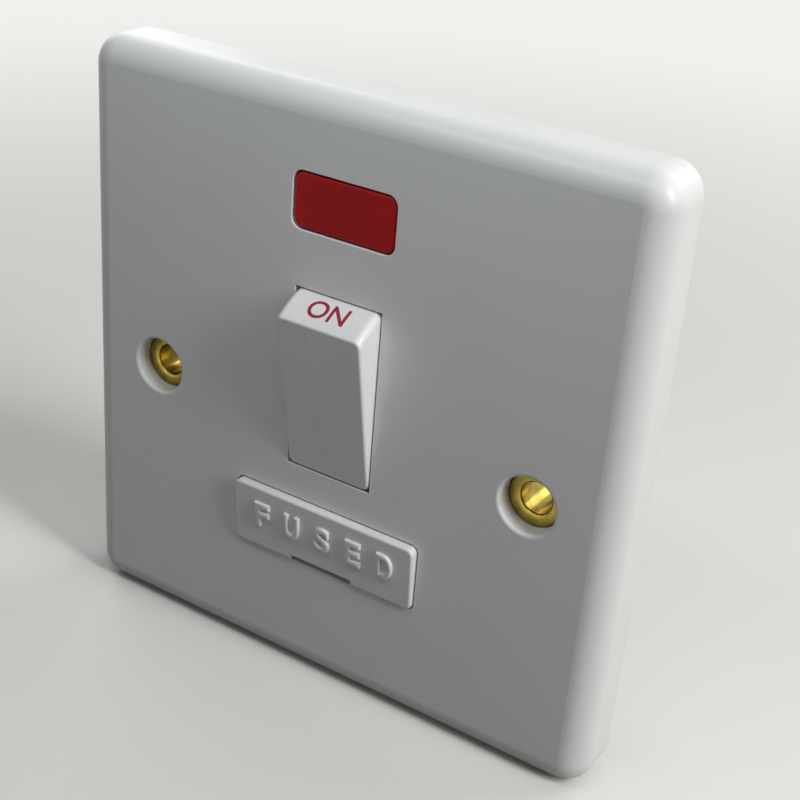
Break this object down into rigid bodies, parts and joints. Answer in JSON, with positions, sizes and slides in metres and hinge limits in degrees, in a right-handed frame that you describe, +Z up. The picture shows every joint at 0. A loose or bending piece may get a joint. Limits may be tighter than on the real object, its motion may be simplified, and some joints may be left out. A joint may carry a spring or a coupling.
{
  "type": "fused spur unit",
  "caption": "Square white moulded wall plate with a tilting rocker, red neon window and pull-out fuse carrier, on a terminal housing that fits a flush wall box.",
  "frame": {"origin": "on the wall plane, midway between the two fixing screws", "axes": "+X to the right seen from the front, +Y into the wall, +Z up"},
  "size_m": [0.086, 0.0289, 0.086],
  "materials": {
    "plate_white": "semi-gloss moulded urea, white",
    "rocker_white": "semi-gloss moulded, white",
    "carrier_white": "semi-gloss moulded, white",
    "neon_red": "tinted red, glossy",
    "tray_white": "moulded, natural white",
    "lamp_glass": "clear glass",
    "resistor_tan": "lacquered",
    "tinned_wire": "tinned copper",
    "brass": "stamped and turned brass",
    "brass_screw": "turned brass",
    "nylon": "natural nylon",
    "spring_steel": "drawn wire",
    "silver": "silver contact rivets",
    "ceramic": "unglazed ceramic",
    "nickel": "nickel plated",
    "base_white": "moulded, white",
    "zinc_steel": "zinc plated"
  },
  "bodies": {
    "unit": {"front_plate": "plate_white", "neon_lens": "neon_red", "neon_holder": "tray_white", "neon_lamp": "lamp_glass", "neon_resistor": "resistor_tan", "neon_leads": "tinned_wire", "left_eyelet": "brass", "right_eyelet": "brass", "earth_strap": "brass", "live_fixed_contact": "brass", "neutral_fixed_contact": "brass", "fixed_contact_tips": "silver", "fuse_supply_clip": "brass", "neutral_pivot_strip": "brass", "fuse_load_clip": "brass", "supply_live_terminal": "brass", "supply_neutral_terminal": "brass", "load_live_terminal": "brass", "load_neutral_terminal": "brass", "earth_terminal": "brass", "terminal_screws": "brass_screw", "rear_base": "base_white", "base_screws": "zinc_steel"},
    "rocker": {"rocker": "rocker_white", "live_plunger": "nylon", "neutral_plunger": "nylon", "live_plunger_spring": "spring_steel", "neutral_plunger_spring": "spring_steel"},
    "contacts": {"live_moving_contact": "brass", "neutral_moving_contact": "brass", "moving_contact_tips": "silver"},
    "carrier": {"fuse_carrier": "carrier_white", "fuse_body": "ceramic", "fuse_caps": "nickel"}
  },
  "joints": [
    {"name": "rocker_tilt", "type": "hinge", "parent": "unit", "child": "rocker", "pos_m": [0, -0.00397, 0.00605], "axis": [-1, 0, 0], "range_deg": [0, 22]},
    {"name": "contact_tilt", "type": "hinge", "parent": "unit", "child": "contacts", "pos_m": [0, 0.0059, 0.00605], "axis": [1, 0, 0], "range_deg": [0, 12]},
    {"name": "carrier_pull", "type": "slide", "parent": "unit", "child": "carrier", "axis": [0, -1, 0], "range_m": [0, 0.0135]}
  ],
  "couplings": [
    {"joint": "contact_tilt", "follows": "rocker_tilt", "ratio": 0.5454}
  ]
}
